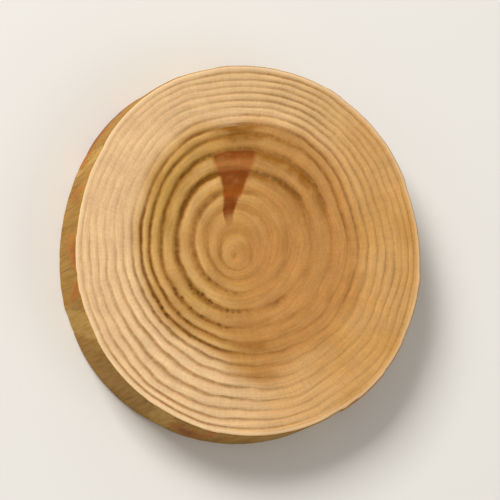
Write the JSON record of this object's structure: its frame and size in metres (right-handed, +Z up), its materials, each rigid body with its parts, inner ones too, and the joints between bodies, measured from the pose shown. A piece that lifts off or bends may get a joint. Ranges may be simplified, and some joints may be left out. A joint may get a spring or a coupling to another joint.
{
  "type": "wood slice",
  "caption": "Thin round slice of a debarked branch, sawn flat on both faces with growth rings showing, for crafts, decoration or use as a small rest or disc.",
  "frame": {"origin": "middle of the underside, at the centre of its bounding box", "axes": "+Z up through the slice along the branch's grain, out of the face with the plainest rings; +Y from the pith towards the red-brown stain; +X to the right of it, seen from above"},
  "size_m": [0.0412, 0.0426, 0.0064],
  "materials": {
    "wood": "bare dry branch wood, rough sawn across the grain, pale sapwood round a honey-brown heart, knife-peeled rim"
  },
  "bodies": {
    "root": {"wood_slice": "wood"}
  },
  "joints": []
}
